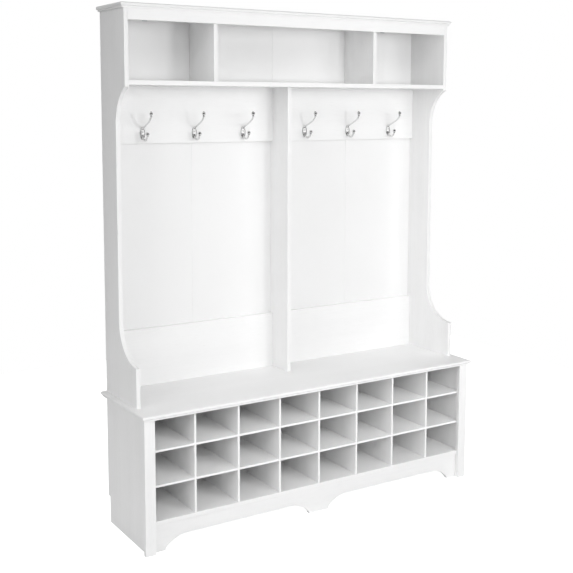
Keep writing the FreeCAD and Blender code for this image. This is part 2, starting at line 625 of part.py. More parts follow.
def bracket_screws():
    """Pan-head screws up through each angle into the crown."""
    screws = []
    for x in (-WALL_BRACKET_X, WALL_BRACKET_X):
        seat = point(x, BRACKET_SCREW_DEPTH, CROWN_Z - BRACKET_THICK)
        head_radius, head_thick = BRACKET_SCREW_HEAD
        head = rod(seat - UP * head_thick, UP, head_radius, head_thick)
        shank = rod(seat, UP, BRACKET_SCREW_RADIUS, 14)
        drive = rod(seat - UP * (head_thick + 1), UP, 1.5, 2)
        screws.append(head.fuse(shank).cut(drive).removeSplitter())
    return screws


def divider_screws(make):
    """Long screws up through the hutch shelf into the two top dividers, or their holes."""
    return [make(point(side * TOP_DIVIDER_X, depth, HUTCH_SHELF_Z), UP, *DIVIDER_SCREW_SIZE)
            for side in (-1, 1) for depth in DIVIDER_SCREW_DEPTHS]


# --- Assembly -----------------------------------------------------------------------------------------
boards = {"bench_top": moulded_top(WIDTH, TOP_DEPTH, BENCH_TOP_Z),
          "cubby_floor": cubby_floor(),
          "front_apron": front_apron(),
          "rear_stretcher": rear_stretcher(),
          "centre_leg": centre_leg(),
          "crown_top": moulded_top(CROWN_WIDTH, CROWN_DEPTH, CROWN_Z),
          "hutch_shelf": hutch_shelf(),
          "top_fascia": top_fascia(),
          "centre_divider": centre_divider()}
for side_name, sign in SIDES:
    boards["bench_side_" + side_name] = bench_side(sign)
    boards["front_post_" + side_name] = front_post(sign)
    boards["bench_back_" + side_name] = bench_back(sign)
    boards["hutch_side_" + side_name] = hutch_side(sign)
    boards["top_divider_" + side_name] = top_divider(sign)
    boards["hook_rail_" + side_name] = rail(sign, HUTCH_SHELF_Z - HOOK_RAIL_HEIGHT, HUTCH_SHELF_Z)
    boards["lower_rail_" + side_name] = rail(sign, BENCH_HEIGHT, BENCH_HEIGHT + LOWER_RAIL_HEIGHT)
    boards["hutch_back_" + side_name] = hutch_back(sign)
for number, divider_x in enumerate(DIVIDER_XS, 1):
    boards["cubby_divider_%d" % number] = cubby_divider(divider_x)
for level_name, underside in zip(("lower", "upper"), SHELF_UNDERSIDES):
    boards["cubby_shelf_" + level_name] = cubby_shelf(underside)

dowels_and_holes = [dowel(joint) for joint in dowel_joints()]
drilled = {name: [] for name in boards}
cams, bolts = [], []
for joint in cam_joints():
    cam, bolt, cam_holes, bolt_hole = cam_fitting(joint)
    cams.append(cam)
    bolts.append(bolt)
    drilled[joint[3]].append(cam_holes)
    drilled[joint[4]].append(bolt_hole)
for joint, (_, hole) in zip(dowel_joints(), dowels_and_holes):
    drilled[joint[2]].append(hole)
    drilled[joint[3]].append(hole)
for name in ("crown_top", "hutch_back_left", "hutch_back_right"):
    drilled[name] += bracket_screws()
for bracket_x in (-WALL_BRACKET_X, WALL_BRACKET_X):
    panel_name = "hutch_back_left" if bracket_x < 0 else "hutch_back_right"
    drilled[panel_name].append(wall_bracket_holes(bracket_x)[0])
for screw in hook_screws():
    for name in ("hook_rail_left", "hook_rail_right"):
        drilled[name].append(screw)
for name in ("hutch_shelf", "top_divider_left", "top_divider_right"):
    drilled[name] += divider_screws(screw_hole)
nails = panel_nails()
nailed = ("hutch_back_", "bench_back_", "hutch_side_", "bench_side_", "crown_top", "hutch_shelf",
          "cubby_floor", "centre_divider")
for name in boards:
    if name.startswith(nailed):
        drilled[name] += [nail for nail in nails if nail.BoundBox.intersect(boards[name].BoundBox)]

groups = {"cam_locks": cams,
          "cam_bolts": bolts,
          "wood_dowels": [solid for solid, _ in dowels_and_holes],
          "hook_screws": hook_screws(),
          "divider_screws": divider_screws(wood_screw),
          "panel_nails": nails,
          "wall_brackets": wall_brackets(),
          "bracket_screws": bracket_screws()}

os.makedirs("parts", exist_ok=True)
for name, shape in boards.items():
    holes = [hole for hole in drilled[name] if hole.BoundBox.intersect(shape.BoundBox)]
    if holes:
        shape = shape.cut(Part.makeCompound(holes))
    shape.exportStep("parts/%s.step" % name)
for number, hook_x in enumerate(HOOK_XS, 1):
    coat_hook(hook_x).exportStep("parts/coat_hook_%d.step" % number)
for name, solids in groups.items():
    Part.makeCompound(solids).exportStep("parts/%s.step" % name)
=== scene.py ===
import math

import bmesh
import bpy
import numpy as np
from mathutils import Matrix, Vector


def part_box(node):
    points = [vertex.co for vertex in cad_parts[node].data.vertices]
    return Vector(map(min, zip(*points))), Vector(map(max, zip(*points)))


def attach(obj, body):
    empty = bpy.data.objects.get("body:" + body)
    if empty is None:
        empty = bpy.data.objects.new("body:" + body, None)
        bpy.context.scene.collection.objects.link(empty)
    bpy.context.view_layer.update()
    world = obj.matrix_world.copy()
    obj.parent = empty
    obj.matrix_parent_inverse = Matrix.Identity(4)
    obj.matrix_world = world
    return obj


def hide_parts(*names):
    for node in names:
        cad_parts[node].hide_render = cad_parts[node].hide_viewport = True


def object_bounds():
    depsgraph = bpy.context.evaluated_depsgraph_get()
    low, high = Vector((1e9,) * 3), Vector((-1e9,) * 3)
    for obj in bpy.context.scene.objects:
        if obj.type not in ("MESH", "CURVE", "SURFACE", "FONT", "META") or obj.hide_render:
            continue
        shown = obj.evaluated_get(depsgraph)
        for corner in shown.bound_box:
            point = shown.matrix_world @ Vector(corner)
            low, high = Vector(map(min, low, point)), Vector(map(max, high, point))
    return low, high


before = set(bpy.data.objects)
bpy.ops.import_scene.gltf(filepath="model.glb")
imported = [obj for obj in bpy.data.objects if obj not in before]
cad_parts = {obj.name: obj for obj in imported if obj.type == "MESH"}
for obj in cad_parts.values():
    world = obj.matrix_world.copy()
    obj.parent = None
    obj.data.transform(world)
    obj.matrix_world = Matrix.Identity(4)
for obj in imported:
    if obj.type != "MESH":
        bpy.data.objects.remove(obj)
cad_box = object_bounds()


# ---- Bench sides and front posts ----------------------------------------------------------------------
# Composite wood panels under a satin white paper laminate with a faint pressed wood grain. The posts are
# narrower strips, doweled over the front edges of the panels, and all of them have the grain upright.
BOARD_CORNER = 0.0009
CUBBY_CORNER = 0.0006
LAMINATE_WHITE = (0.90, 0.90, 0.90, 1)
GRAIN_ALONG = {"x": (0.05, 1, 1), "y": (1, 0.05, 1), "z": (1, 1, 0.05)}
GRAIN_CONTRAST = 0.09
UPRIGHT_CONTRAST = 0.13
PRINT_SHIFT = 7.0
WAVE_SHARE = 0.22
PORE_DARKNESS = 0.35
BOARD_TO_BOARD = 0.012
CORNER_DARKNESS = 0.05
CORNER_POLISH = 0.10


def new_group(name, inputs, outputs):
    """A shader node group with its two end nodes. Inputs are (name, type, default), outputs (name, type)."""
    group = bpy.data.node_groups.new(name, "ShaderNodeTree")
    for label, kind, default in inputs:
        socket = group.interface.new_socket(label, in_out="INPUT", socket_type="NodeSocket" + kind)
        socket.default_value = default
    for label, kind in outputs:
        group.interface.new_socket(label, in_out="OUTPUT", socket_type="NodeSocket" + kind)
    return group, group.nodes.new("NodeGroupInput"), group.nodes.new("NodeGroupOutput")


def add_node(tree, kind, links=(), **values):
    """Adds a shader node, sets its properties or its unlinked inputs, and links (input, source) pairs."""
    node = tree.nodes.new("ShaderNode" + kind)
    for key, value in values.items():
        if hasattr(node, key):
            setattr(node, key, value)
        else:
            node.inputs[key.replace("_", " ")].default_value = value
    for socket, source in links:
        tree.links.new(source, node.inputs[socket])
    return node


def math_node(tree, operation, first, second):
    """A Math node on two operands, each a number or an output socket."""
    node = tree.nodes.new("ShaderNodeMath")
    node.operation = operation
    for socket, operand in zip(node.inputs, (first, second)):
        if isinstance(operand, (int, float)):
            socket.default_value = operand
        else:
            tree.links.new(operand, socket)
    return node.outputs[0]


def rubbed_corners(corner_radius):
    """A board's corners, rounded by the averaged normal, and a mask of where it leaves the true one."""
    group, _, end = new_group("rubbed_corners_%d_um" % round(corner_radius * 1e6), [],
                              [("Normal", "Vector"), ("Corner", "Float")])
    rounded = add_node(group, "Bevel", samples=8, Radius=corner_radius)
    flat = add_node(group, "NewGeometry")
    match = add_node(group, "VectorMath", [(0, rounded.outputs["Normal"]), (1, flat.outputs["True Normal"])],
                     operation="DOT_PRODUCT")
    corner = add_node(group, "MapRange", [("Value", match.outputs["Value"])],
                      From_Min=0.995, From_Max=0.80, To_Min=0.0, To_Max=1.0)
    group.links.new(rounded.outputs["Normal"], end.inputs["Normal"])
    group.links.new(corner.outputs[0], end.inputs["Corner"])
    return group


def pressed_grain():
    """Laminate print: long streaks and short pores along the board, cathedral waves, and a cloud of tone."""
    group, start, end = new_group(
        "pressed_grain",
        [("Along", "Vector", (1, 1, 1)), ("Tint", "Color", LAMINATE_WHITE),
         ("Contrast", "Float", GRAIN_CONTRAST), ("Corner", "Float", 0.0)],
        [("Colour", "Color"), ("Roughness", "Float"), ("Height", "Float")])
    place = add_node(group, "TexCoord").outputs["Object"]
    each = add_node(group, "ObjectInfo").outputs["Random"]
    apart = math_node(group, "MULTIPLY", each, PRINT_SHIFT)
    moved = add_node(group, "VectorMath", [(0, place), (1, apart)], operation="ADD")
    along = add_node(group, "VectorMath", [(0, moved.outputs[0]), (1, start.outputs["Along"])],
                     operation="MULTIPLY")
    streaks = add_node(group, "TexNoise", [("Vector", along.outputs[0])], Scale=55, Detail=6, Roughness=0.62,
                       Distortion=0.35)
    waves = add_node(group, "TexWave", [("Vector", along.outputs[0])], wave_type="RINGS", Scale=2.6,
                     Distortion=9.0, Detail=3)
    pores = add_node(group, "TexNoise", [("Vector", along.outputs[0])], Scale=480, Detail=2, Roughness=0.5)
    cloud = add_node(group, "TexNoise", [("Vector", place)], Scale=3.2, Detail=3)
    pits = add_node(group, "MapRange", [("Value", pores.outputs["Fac"])], From_Min=0.57, From_Max=0.72)
    drawn = add_node(group, "Mix", [("A", streaks.outputs["Fac"]), ("B", waves.outputs["Fac"])],
                     Factor=WAVE_SHARE)
    uneven = math_node(group, "MULTIPLY", drawn.outputs["Result"], cloud.outputs["Fac"])
    pitted = math_node(group, "MULTIPLY", pits.outputs[0], PORE_DARKNESS)
    printed = math_node(group, "ADD", uneven, pitted)
    shaded = math_node(group, "MULTIPLY", printed, start.outputs["Contrast"])
    board_tone = math_node(group, "MULTIPLY", each, BOARD_TO_BOARD)
    rubbed = math_node(group, "MULTIPLY", start.outputs["Corner"], CORNER_DARKNESS)
    losses = math_node(group, "ADD", math_node(group, "ADD", shaded, board_tone), rubbed)
    shade = math_node(group, "SUBTRACT", 1.0, losses)
    colour = add_node(group, "VectorMath", [(0, start.outputs["Tint"]), (1, shade)], operation="MULTIPLY")
    satin = add_node(group, "MapRange", [("Value", cloud.outputs["Fac"])], From_Min=0.3, From_Max=0.7,
                     To_Min=0.42, To_Max=0.50)
    polished = math_node(group, "MULTIPLY", start.outputs["Corner"], -CORNER_POLISH)
    rough = math_node(group, "ADD", satin.outputs[0], polished)
    height = math_node(group, "SUBTRACT", drawn.outputs["Result"], pits.outputs[0])
    group.links.new(colour.outputs[0], end.inputs["Colour"])
    group.links.new(rough, end.inputs["Roughness"])
    group.links.new(height, end.inputs["Height"])
    return group


pressed_grain_group = pressed_grain()
board_corners = rubbed_corners(BOARD_CORNER)
cubby_corners = rubbed_corners(CUBBY_CORNER)


def place_group(tree, group):
    """A node in a material's tree that stands for one of the shared groups."""
    node = tree.nodes.new("ShaderNodeGroup")
    node.node_tree = group
    return node


def laminate(name, direction, corners=board_corners, tint=LAMINATE_WHITE, contrast=GRAIN_CONTRAST):
    """Satin white laminate, with its grain along one axis and its corners rounded over."""
    material = bpy.data.materials.new(name)
    material.use_nodes = True
    tree = material.node_tree
    shader = tree.nodes["Principled BSDF"]
    edge = place_group(tree, corners)
    grain = place_group(tree, pressed_grain_group)
    grain.inputs["Along"].default_value = GRAIN_ALONG[direction]
    grain.inputs["Tint"].default_value = tint
    grain.inputs["Contrast"].default_value = contrast
    tree.links.new(edge.outputs["Corner"], grain.inputs["Corner"])
    bump = add_node(tree, "Bump", [("Height", grain.outputs["Height"]), ("Normal", edge.outputs["Normal"])],
                    Strength=0.35, Distance=0.00012)
    tree.links.new(grain.outputs["Colour"], shader.inputs["Base Color"])
    tree.links.new(grain.outputs["Roughness"], shader.inputs["Roughness"])
    tree.links.new(bump.outputs["Normal"], shader.inputs["Normal"])
    return material


def finish_nodes(material, *starts):
    """Gives this material to every CAD node whose name begins with one of these words."""
    for node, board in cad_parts.items():
        if node.startswith(starts):
            board.data.materials.clear()
            board.data.materials.append(material)


upright_laminate = laminate("upright_laminate", "z", contrast=UPRIGHT_CONTRAST)
finish_nodes(upright_laminate, "bench_side", "front_post")

# ---- Cubby floor, shelves and dividers ----------------------------------------------------------------
# The shelves and dividers are thin boards, half-lapped into an egg crate that stands on the floor board. A
# stretcher on edge carries the floor's rear. All have the same laminate print, with the grain across on the
# level boards and the stretcher, and upright on the dividers. The shelves and dividers have a whiter copy of
# the laminate white: painted light, which lifts the shade inside the cubbies.
# Painted light: the laminate white lifted for the shelves and dividers, to make up for the shade in the
# cubbies.
CUBBY_PAINTED_LIGHT_WHITE = (0.935, 0.935, 0.935, 1)
level_laminate = laminate("level_laminate", "x")
finish_nodes(level_laminate, "cubby_floor", "rear_stretcher")
thin_level_laminate_painted_light = laminate("thin_level_laminate_painted_light", "x", cubby_corners, CUBBY_PAINTED_LIGHT_WHITE)
finish_nodes(thin_level_laminate_painted_light, "cubby_shelf")
thin_upright_laminate_painted_light = laminate("thin_upright_laminate_painted_light", "z", cubby_corners, CUBBY_PAINTED_LIGHT_WHITE)
finish_nodes(thin_upright_laminate_painted_light, "cubby_divider")


# ---- Front apron --------------------------------------------------------------------------------------
# One laminated board with two long low arches routed from its lower edge, which leaves a foot in the middle
# and half a foot at each end. The routed edge is covered with thin white edging and eased by hand.
def ring_faces(stack, first):
    """Faces over a stack of m rings of n points: quads between neighbours, and one face over each end."""
    m, n = stack.shape[:2]
    i = np.arange(m - 1)[:, None] * n + first
    j = np.arange(n)[None, :]
    k = (j + 1) % n
    quads = np.stack([i + j, i + k, i + n + k, i + n + j], axis=-1).reshape(-1, 4)
    last = first + (m - 1) * n
    return quads.tolist() + [list(range(first, first + n)), list(range(last, last + n))]


def piece_from_stacks(name, stacks, smooth_degrees=40, flat_ends=True):
    """One object from closed stacks of rings, with normals outwards and creases kept above an angle."""
    faces, smooth = [], []
    first = 0
    for stack in stacks:
        stack_faces = ring_faces(stack, first)
        faces += stack_faces
        smooth += [True] * (len(stack_faces) - 2) + [not flat_ends] * 2
        first += stack.shape[0] * stack.shape[1]
    points = np.concatenate([stack.reshape(-1, 3) for stack in stacks])
    mesh = bpy.data.meshes.new(name)
    mesh.from_pydata(points.tolist(), [], faces)
    shell = bmesh.new()
    shell.from_mesh(mesh)
    bmesh.ops.recalc_face_normals(shell, faces=shell.faces)
    shell.to_mesh(mesh)
    shell.free()
    mesh.polygons.foreach_set("use_smooth", smooth)
    mesh.set_sharp_from_angle(angle=math.radians(smooth_degrees))
    mesh.update()
    piece = bpy.data.objects.new(name, mesh)
    bpy.context.scene.collection.objects.link(piece)
    return piece


ROUND_OVER_STEPS = 5


def eased_board(outline, eased, near, far, radius, place):
    """Rings for a flat board whose exposed edges are rounded over.

    Each ring is the outline (n, 2), drawn in along its normals by r (1 - sin a) where eased is 1, at r (1 -
    cos a) from a face, with a from 0 to a quarter turn: first at the near face, then at the far one. place
    turns the two coordinates in the board's plane and the distance across it into x, y and z.
    """
    run = np.roll(outline, -1, axis=0) - np.roll(outline, 1, axis=0)
    normal = np.stack([run[:, 1], -run[:, 0]], axis=1)
    normal /= np.linalg.norm(normal, axis=1)[:, None]
    turn = np.linspace(0, math.pi / 2, ROUND_OVER_STEPS)
    drawn_in = radius * (1 - np.sin(turn))
    across = radius * (1 - np.cos(turn))
    drawn_in = np.concatenate([drawn_in, drawn_in[::-1]])
    across = np.concatenate([near + across, far - across[::-1]])
    flat = outline[None] - drawn_in[:, None, None] * (normal * eased[:, None])[None]
    return place(flat[..., 0], flat[..., 1], np.broadcast_to(across[:, None], flat.shape[:2]))


def cover_edges(piece, ring_count, eased, edging):
    """Puts the edging material on the quads that lie between two eased points of the outline."""
    piece.data.materials.append(edging)
    quad = eased.astype(bool) & np.roll(eased, -1).astype(bool)
    index = np.concatenate([np.tile(quad, ring_count - 1), [False, False]]).astype(np.int32)
    piece.data.polygons.foreach_set("material_index", index)


EDGING_WHITES = ((0.84, 0.84, 0.84, 1), (0.88, 0.88, 0.88, 1))


def stippled_edging():
    """Thin plastic edging: no grain, a fine even stipple, and slightly glossier than the laminate."""
    material = bpy.data.materials.new("white_edging")
    material.use_nodes = True
    tree = material.node_tree
    shader = tree.nodes["Principled BSDF"]
    place = add_node(tree, "TexCoord").outputs["Object"]
    stipple = add_node(tree, "TexNoise", [("Vector", place)], Scale=900, Detail=2)
    handling = add_node(tree, "TexNoise", [("Vector", place)], Scale=14, Detail=4)
    white = add_node(tree, "Mix", [("Factor", handling.outputs["Fac"])], data_type="RGBA")
    white.inputs[6].default_value = EDGING_WHITES[0]
    white.inputs[7].default_value = EDGING_WHITES[1]
    sheen = add_node(tree, "MapRange", [("Value", handling.outputs["Fac"])], To_Min=0.30, To_Max=0.44)
    bump = add_node(tree, "Bump", [("Height", stipple.outputs["Fac"])], Strength=0.25, Distance=0.00005)
    tree.links.new(white.outputs[2], shader.inputs["Base Color"])
    tree.links.new(sheen.outputs[0], shader.inputs["Roughness"])
    tree.links.new(bump.outputs["Normal"], shader.inputs["Normal"])
    return material


white_edging = stippled_edging()

ARCH_HEIGHT = 0.047
ARCH_RADIUS = 0.115
ARCH_STEP = 0.006
OUTER_FOOT_X = 0.664
CENTRE_FOOT_X = 0.045
ARC_POINTS = 20
ROUTED_EASE = 0.0008


def apron_half(end_x, top_z):
    """The right half of the apron's outline, from its lower middle round to its upper middle.

    Each arch has a short upright at its foot, then a circular arc that is tangent to its flat top: x = c +
    R sin b and z = h - R + R cos b, with b from the foot to 0 at the top, or back again.
    """
    foot_turn = math.acos(1 - (ARCH_HEIGHT - ARCH_STEP) / ARCH_RADIUS)
    turn = np.linspace(foot_turn, 0, ARC_POINTS)
    run = ARCH_RADIUS * math.sin(foot_turn)
    rise = ARCH_HEIGHT - ARCH_RADIUS + ARCH_RADIUS * np.cos(turn)
    near_arc = np.stack([CENTRE_FOOT_X + run - ARCH_RADIUS * np.sin(turn), rise], axis=1)
    far_arc = np.stack([OUTER_FOOT_X - run + ARCH_RADIUS * np.sin(turn), rise], axis=1)[::-1]
    routed = np.concatenate([[[CENTRE_FOOT_X, 0.0]], near_arc, far_arc, [[OUTER_FOOT_X, 0.0]]])
    corners = np.array([[end_x, 0.0], [end_x, top_z]])
    exposed = np.concatenate([np.ones(len(routed)), [0.0, 0.0]])
    return np.concatenate([routed, corners]), exposed


apron_low, apron_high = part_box("front_apron")
half_outline, half_exposed = apron_half(apron_high.x, apron_high.z)
apron_outline = np.concatenate([half_outline, half_outline[::-1] * (-1, 1)])
apron_exposed = np.concatenate([half_exposed, half_exposed[::-1]])
apron_rings = eased_board(apron_outline, apron_exposed, apron_low.y, apron_high.y, ROUTED_EASE,
                          lambda x, z, y: np.stack([x, y, z], axis=-1))
apron = piece_from_stacks("arched_apron", [apron_rings])
apron.data.materials.append(level_laminate)
cover_edges(apron, len(apron_rings), apron_exposed, white_edging)
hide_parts("front_apron")
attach(apron, "root")

# ---- Centre leg ---------------------------------------------------------------------------------------
# A laminated board on edge behind the middle foot of the apron, where it carries the cubby floor. It is
# doweled to the floor board, and its grain runs from front to back.
finish_nodes(laminate("centre_leg_laminate", "y"), "centre_leg")


# ---- Bench top and crown ------------------------------------------------------------------------------
# Thick boards with a half-round nose moulded along the front and both ends, standing out over a set-back
# lower band, and mitred at the corners. The laminate is wrapped round the nose in one sheet.
NOSE_RADIUS = 0.0065
NOSE_SETBACK = 0.007
NOSE_ARC_POINTS = 29
LOWER_EASE = 0.0006


def moulded_board(name, node, material):
    """A stack of level rectangles whose front and ends stand in by s at height z, while the rear is plumb.

    s and z follow the lower band, the ledge, and then the nose: s = r (1 - cos a) and z = top - r + r sin a,
    with a from minus to plus a quarter turn.
    """
    low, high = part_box(node)
    turn = np.linspace(-math.pi / 2, math.pi / 2, NOSE_ARC_POINTS)
    nose_z = high.z - NOSE_RADIUS + NOSE_RADIUS * np.sin(turn)
    inset = np.concatenate([[NOSE_SETBACK + LOWER_EASE, NOSE_SETBACK, NOSE_SETBACK],
                            NOSE_RADIUS * (1 - np.cos(turn))])
    z = np.concatenate([[low.z, low.z + LOWER_EASE, nose_z[0]], nose_z])
    left, right = low.x + inset, high.x - inset
    front, rear = low.y + inset, np.full_like(inset, high.y)
    corners = [(left, front), (right, front), (right, rear), (left, rear)]
    rings = np.stack([np.stack([x, y, z], axis=-1) for x, y in corners], axis=1)
    board = piece_from_stacks(name, [rings])
    board.data.materials.append(material)
    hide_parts(node)
    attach(board, "root")


moulded_board("moulded_bench_top", "bench_top", level_laminate)
moulded_board("moulded_crown", "crown_top", level_laminate)

# ---- Hutch sides --------------------------------------------------------------------------------------
# Tall panels standing on the bench top. The front edge sweeps in above the seat, runs up narrow beside the
# coats, and sweeps out again to carry the top cubbies. Thin edging is glued round the whole front edge.
NARROW_DEPTH = 0.1325
UPPER_DEPTH = 0.219
LOWER_SWEEP_RADIUS = 0.147
LOWER_SWEEP_TOP = 0.809
UPPER_SWEEP_RADIUS = 0.155
UPPER_SWEEP_START = 1.520
SWEEP_POINTS = 40
EDGING_EASE = 0.0008


def swept_outline(foot_depth, foot_z, top_z):
    """Depth forwards and height round the panel, from the rear foot. The sweeps are circular arcs:

    depth = c - R sin a and z = t - R cos a below, and depth = c - R cos a and z = s + R sin a above.
    """
    quarter = np.linspace(0, math.pi / 2, SWEEP_POINTS)
    lower_centre = NARROW_DEPTH + LOWER_SWEEP_RADIUS
    lower = np.stack([lower_centre - LOWER_SWEEP_RADIUS * np.sin(quarter),
                      LOWER_SWEEP_TOP - LOWER_SWEEP_RADIUS * np.cos(quarter)], axis=1)
    upper_centre = NARROW_DEPTH + UPPER_SWEEP_RADIUS
    turn = np.linspace(0, math.acos((upper_centre - UPPER_DEPTH) / UPPER_SWEEP_RADIUS), SWEEP_POINTS)
    upper = np.stack([upper_centre - UPPER_SWEEP_RADIUS * np.cos(turn),
                      UPPER_SWEEP_START + UPPER_SWEEP_RADIUS * np.sin(turn)], axis=1)
    ease = EDGING_EASE
    below = [[foot_depth, foot_z + ease], [foot_depth, LOWER_SWEEP_TOP - LOWER_SWEEP_RADIUS]]
    front = np.concatenate([below, lower, upper, [[UPPER_DEPTH, top_z - ease]]])
    foot = [[0.0, foot_z], [foot_depth, foot_z]]
    top = [[UPPER_DEPTH, top_z], [0.0, top_z]]
    outline = np.concatenate([foot, front, top])
    exposed = np.concatenate([[0.0, 0.0], np.ones(len(front)), [0.0, 0.0]])
    return outline, exposed


for hand in ("left", "right"):
    side_low, side_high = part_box("hutch_side_" + hand)
    side_outline, side_exposed = swept_outline(side_high.y - side_low.y, side_low.z, side_high.z)
    side_rings = eased_board(side_outline, side_exposed, side_low.x, side_high.x, EDGING_EASE,
                             lambda depth, z, x: np.stack([x, side_high.y - depth, z], axis=-1))
    swept_side = piece_from_stacks("swept_side_" + hand, [side_rings])
    swept_side.data.materials.append(upright_laminate)
    cover_edges(swept_side, len(side_rings), side_exposed, white_edging)
    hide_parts("hutch_side_" + hand)
    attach(swept_side, "root")

# ---- Hutch shelf, fascia, dividers and rails ----------------------------------------------------------
# The boards between the hutch sides: the long shelf and the fascia frame the top cubbies, two dividers
# split them, and a rail at the top and bottom of each coat bay meets the centre divider.
finish_nodes(level_laminate, "hutch_shelf", "top_fascia", "hook_rail", "lower_rail")
finish_nodes(upright_laminate, "top_divider", "centre_divider")


# ---- Back panels --------------------------------------------------------------------------------------
# Thin hardboard nailed on from behind, with a smooth white paint-printed face. Each hutch panel has one
# V-groove down its middle. The paint is flatter than the laminate, with a trace of the board's fibres.
def painted_hardboard():
    """White printed paint: a faint mottle of fibres times a slow roller cloud, in tone, gloss and height."""
    material = bpy.data.materials.new("painted_hardboard")
    material.use_nodes = True
    tree = material.node_tree
    shader = tree.nodes["Principled BSDF"]
    place = add_node(tree, "TexCoord").outputs["Object"]
    fibres = add_node(tree, "TexNoise", [("Vector", place)], Scale=260, Detail=5, Roughness=0.7,
                      Distortion=1.2)
    roller = add_node(tree, "TexNoise", [("Vector", place)], Scale=2.2, Detail=4)
    blend = math_node(tree, "MULTIPLY", fibres.outputs["Fac"], roller.outputs["Fac"])
    paint = add_node(tree, "MapRange", [("Value", blend)], From_Min=0.1, From_Max=0.45, To_Min=0.865,
                     To_Max=0.835)
    dull = add_node(tree, "MapRange", [("Value", roller.outputs["Fac"])], To_Min=0.48, To_Max=0.60)
    bump = add_node(tree, "Bump", [("Height", fibres.outputs["Fac"])], Strength=0.3, Distance=0.00008)
    tree.links.new(paint.outputs[0], shader.inputs["Base Color"])
    tree.links.new(dull.outputs[0], shader.inputs["Roughness"])
    tree.links.new(bump.outputs["Normal"], shader.inputs["Normal"])
    return material


finish_nodes(painted_hardboard(), "hutch_back", "bench_back")


# ---- Coat hooks ---------------------------------------------------------------------------------------
# Six cast zinc hooks, polished and chrome plated. Each has an oval plate with a raised rim, a tall arm with
# a turned finial and a short half-round arm with a knob, all cast in one and fixed by two screws.
PLATE_HALF = (0.0105, 0.024)
PLATE_EDGE = 0.0016
PLATE_THICK = 0.0035
PLATE_DISH = 0.0024
DISH_CROWN = 0.0003
# Shares of the way from the plate's middle to its edge.
RIM_AT = 0.90
DISH_AT = 0.72
MIDDLE_AT = 0.02
SCREW_RISES = (-0.017, 0.0065)
SINK_RADIUS = 0.0037
SINK_FLOOR = 0.0008
PLATE_ROUND = 96
RIM_STEPS = 7
FACE_STEPS = 46

ARM_RADIUS = 0.0034
ARM_ROUND = 28
# Points of the tall arm's curve, as (outwards, up), then how much its root flares and over what share of it.
TALL_BEND = np.array([(0.0010, 0.0190), (0.0400, 0.0340), (0.0860, 0.0500), (0.0820, 0.0690)])
TALL_FLARE = (0.75, 0.06)
TALL_STEPS = 48
SHORT_ROOT = (0.0025, -0.003)
SHORT_STOUTER = 1.06
SHORT_FLARE = (0.6, 0.22)
SHORT_STEPS = 44

# Knob centres as (outwards, up), how far each collar lies below its centre, and how far the cap lies above.
TALL_KNOB = (0.082, 0.075)
TALL_COLLAR = 0.0100
TALL_CAP = 0.0083
SHORT_KNOB = (0.0475, -0.001)
SHORT_COLLAR = 0.0072
SHORT_CAP = 0.0064
HOOK_TOP = 0.0085
KNOB_RADIUS = 0.0074
KNOB_ROUND = 36
# Angles left off the ball, at the waist below and under the cap above.
BALL_BELOW = 0.62
BALL_ABOVE = 0.35
BALL_STEPS = 26
COLLAR_RADIUS = 0.0036
BEAD_RADIUS = 0.0013
BEAD_STEPS = 9
STEM_RADII = (0.0004, 0.0028)
STEM_DEPTHS = (0.006, 0.0045)
WAIST_RADIUS = 0.0030
WAIST_RISE = 0.0022
CAP_RADII = (0.0030, 0.0031, 0.0029, 0.0024, 0.0003)
CAP_DROPS = (0.0014, 0.0006, 0.0002, 0.0, 0.0)

MIRROR_ROUGHNESS = 0.04
BLOOM_DARKNESS = 0.05
HOOK_COUNT = 6


def plate_rings(screws):
    """The oval plate: (a s cos t, b s sin t) at height h(s), for s from the edge in to the middle.

    h has a half-round rim centred on RIM_AT, an S-curve down to the dish, and a slight crown in the middle.
    A cone is sunk round each screw: h is at most the dish less the distance inside the cone's mouth.
    """
    turn = np.linspace(0, 2 * math.pi, PLATE_ROUND, endpoint=False)
    edge = 1 - (1 - RIM_AT) * (1 - np.cos(np.linspace(0, math.pi / 2, RIM_STEPS)))
    shares = np.concatenate([edge, np.linspace(RIM_AT, MIDDLE_AT, FACE_STEPS)[1:]])
    rim_lift = np.sqrt(np.clip(1 - ((shares - RIM_AT) / (1 - RIM_AT)) ** 2, 0, 1))
    fall = np.clip((shares - DISH_AT) / (RIM_AT - DISH_AT), 0, 1)
    fall = fall * fall * (3 - 2 * fall)
    dish = PLATE_DISH + DISH_CROWN * (1 - (np.minimum(shares, DISH_AT) / DISH_AT) ** 2)
    outside = PLATE_EDGE + (PLATE_THICK - PLATE_EDGE) * rim_lift
    height = np.where(shares >= RIM_AT, outside, dish + (PLATE_THICK - dish) * fall)
    across = PLATE_HALF[0] * shares[:, None] * np.cos(turn)
    up = PLATE_HALF[1] * shares[:, None] * np.sin(turn)
    height = np.broadcast_to(height[:, None], across.shape)
    for rise in screws:
        sink = PLATE_DISH + np.hypot(across, up - rise) - SINK_RADIUS
        sunk = np.minimum(height, np.maximum(sink, SINK_FLOOR))
        height = np.where(sink < PLATE_DISH, sunk, height)
    face = np.stack([across, height, up], axis=-1)
    back = face[:1].copy()
    back[..., 1] = 0
    return np.concatenate([back, face])


def arm_rings(out, rise, radius):
    """A round bar along a path in the hook's upright plane: p + r (cos t e + sin t n), with e across it."""
    path = np.stack([np.zeros_like(out), out, rise], axis=-1)
    along = np.gradient(path, axis=0)
    along /= np.linalg.norm(along, axis=1)[:, None]
    across = np.array((1.0, 0.0, 0.0))
    normal = np.cross(along, across)
    turn = np.linspace(0, 2 * math.pi, ARM_ROUND, endpoint=False)[None, :, None]
    ring = np.cos(turn) * across + np.sin(turn) * normal[:, None]
    return path[:, None] + radius[:, None, None] * ring


def turned_rings(out, heights, radii):
    """A shape turned about an upright axis: radius r at height z, right round."""
    turn = np.linspace(0, 2 * math.pi, KNOB_ROUND, endpoint=False)
    across = radii[:, None] * np.cos(turn)
    forwards = out + radii[:, None] * np.sin(turn)
    return np.stack([across, forwards, np.broadcast_to(heights[:, None], across.shape)], axis=-1)


